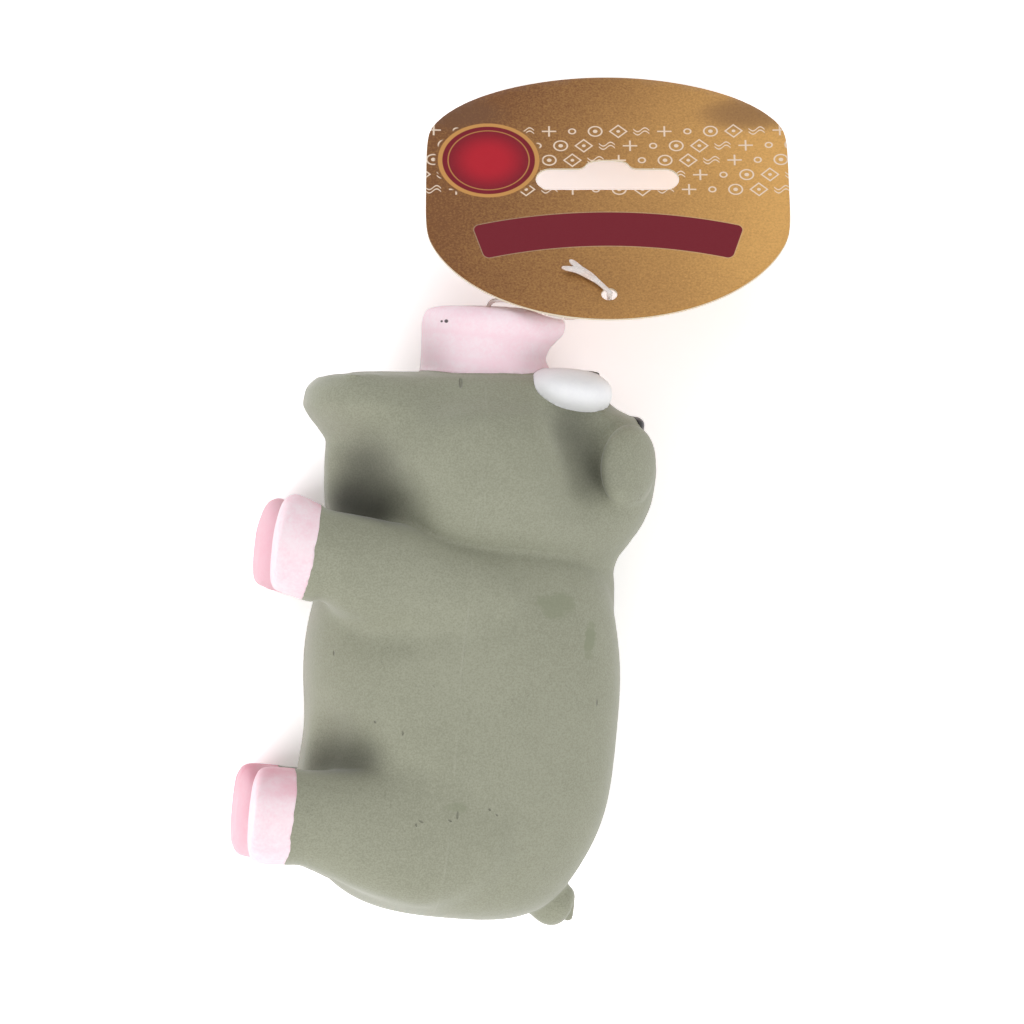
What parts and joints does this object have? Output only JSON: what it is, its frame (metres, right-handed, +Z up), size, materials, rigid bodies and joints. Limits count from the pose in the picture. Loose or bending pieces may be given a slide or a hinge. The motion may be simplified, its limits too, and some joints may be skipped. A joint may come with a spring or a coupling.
{
  "type": "dog toy",
  "caption": "Stuffed latex squeaky dog toy shaped like a fat hoofed animal, lying on its side, with an oval card tag that swings on a pin through its snout.",
  "frame": {"origin": "middle of the underside of the whole object's box, on the surface that the toy lies on", "axes": "+X towards the toy's back, +Y towards its snout and the tag, +Z up, out of the flank that shows"},
  "size_m": [0.1248, 0.1908, 0.0686],
  "materials": {
    "latex_grey": "matt grey-green latex",
    "latex_pink": "satin pink paint on latex",
    "paint_white": "satin white paint on latex",
    "paint_black": "satin black paint on latex",
    "squeaker_plastic": "moulded natural white plastic",
    "reed_film": "thin plastic film",
    "filling_fibre": "loose polyester fibre",
    "pin_plastic": "translucent moulded plastic",
    "tag_card": "printed gold card, slightly glossy"
  },
  "bodies": {
    "toy": {"body_skin": "latex_grey", "head_skin": "latex_grey", "snout_skin": "latex_pink", "leg_front_left": "latex_grey", "hoof_front_left": "latex_pink", "leg_front_right": "latex_grey", "hoof_front_right": "latex_pink", "leg_rear_left": "latex_grey", "hoof_rear_left": "latex_pink", "leg_rear_right": "latex_grey", "hoof_rear_right": "latex_pink", "ear_left": "latex_grey", "eye_left": "paint_white", "pupil_left": "paint_black", "brow_left": "paint_black", "ear_right": "latex_grey", "eye_right": "paint_white", "pupil_right": "paint_black", "brow_right": "paint_black", "tail": "latex_grey", "squeaker_housing": "squeaker_plastic", "squeaker_cap": "squeaker_plastic", "squeaker_reed_block": "squeaker_plastic", "squeaker_reed_clip": "squeaker_plastic", "fibre_filling": "filling_fibre", "tag_fastener": "pin_plastic"},
    "pin_head": {"fastener_head": "pin_plastic"},
    "tag": {"hang_tag": "tag_card"},
    "reed": {"squeaker_reed": "reed_film"}
  },
  "joints": [
    {"name": "tag_swing", "type": "hinge", "parent": "toy", "child": "pin_head", "pos_m": [0.02177, 0.04404, 0.04313], "axis": [1, 0, 0], "range_deg": [-45, 10]},
    {"name": "tag_spin", "type": "hinge", "parent": "pin_head", "child": "tag", "pos_m": [0.02177, 0.04404, 0.04313], "axis": [0, 0.6428, 0.7661], "range_deg": [-35, 35]},
    {"name": "reed_flex", "type": "hinge", "parent": "toy", "child": "reed", "pos_m": [-0.04047, -0.06951, 0.03248], "axis": [-0.1901, 0.9812, 0.0346], "range_deg": [-3, 3], "stiffness_Nm_per_rad": 0.0005}
  ]
}
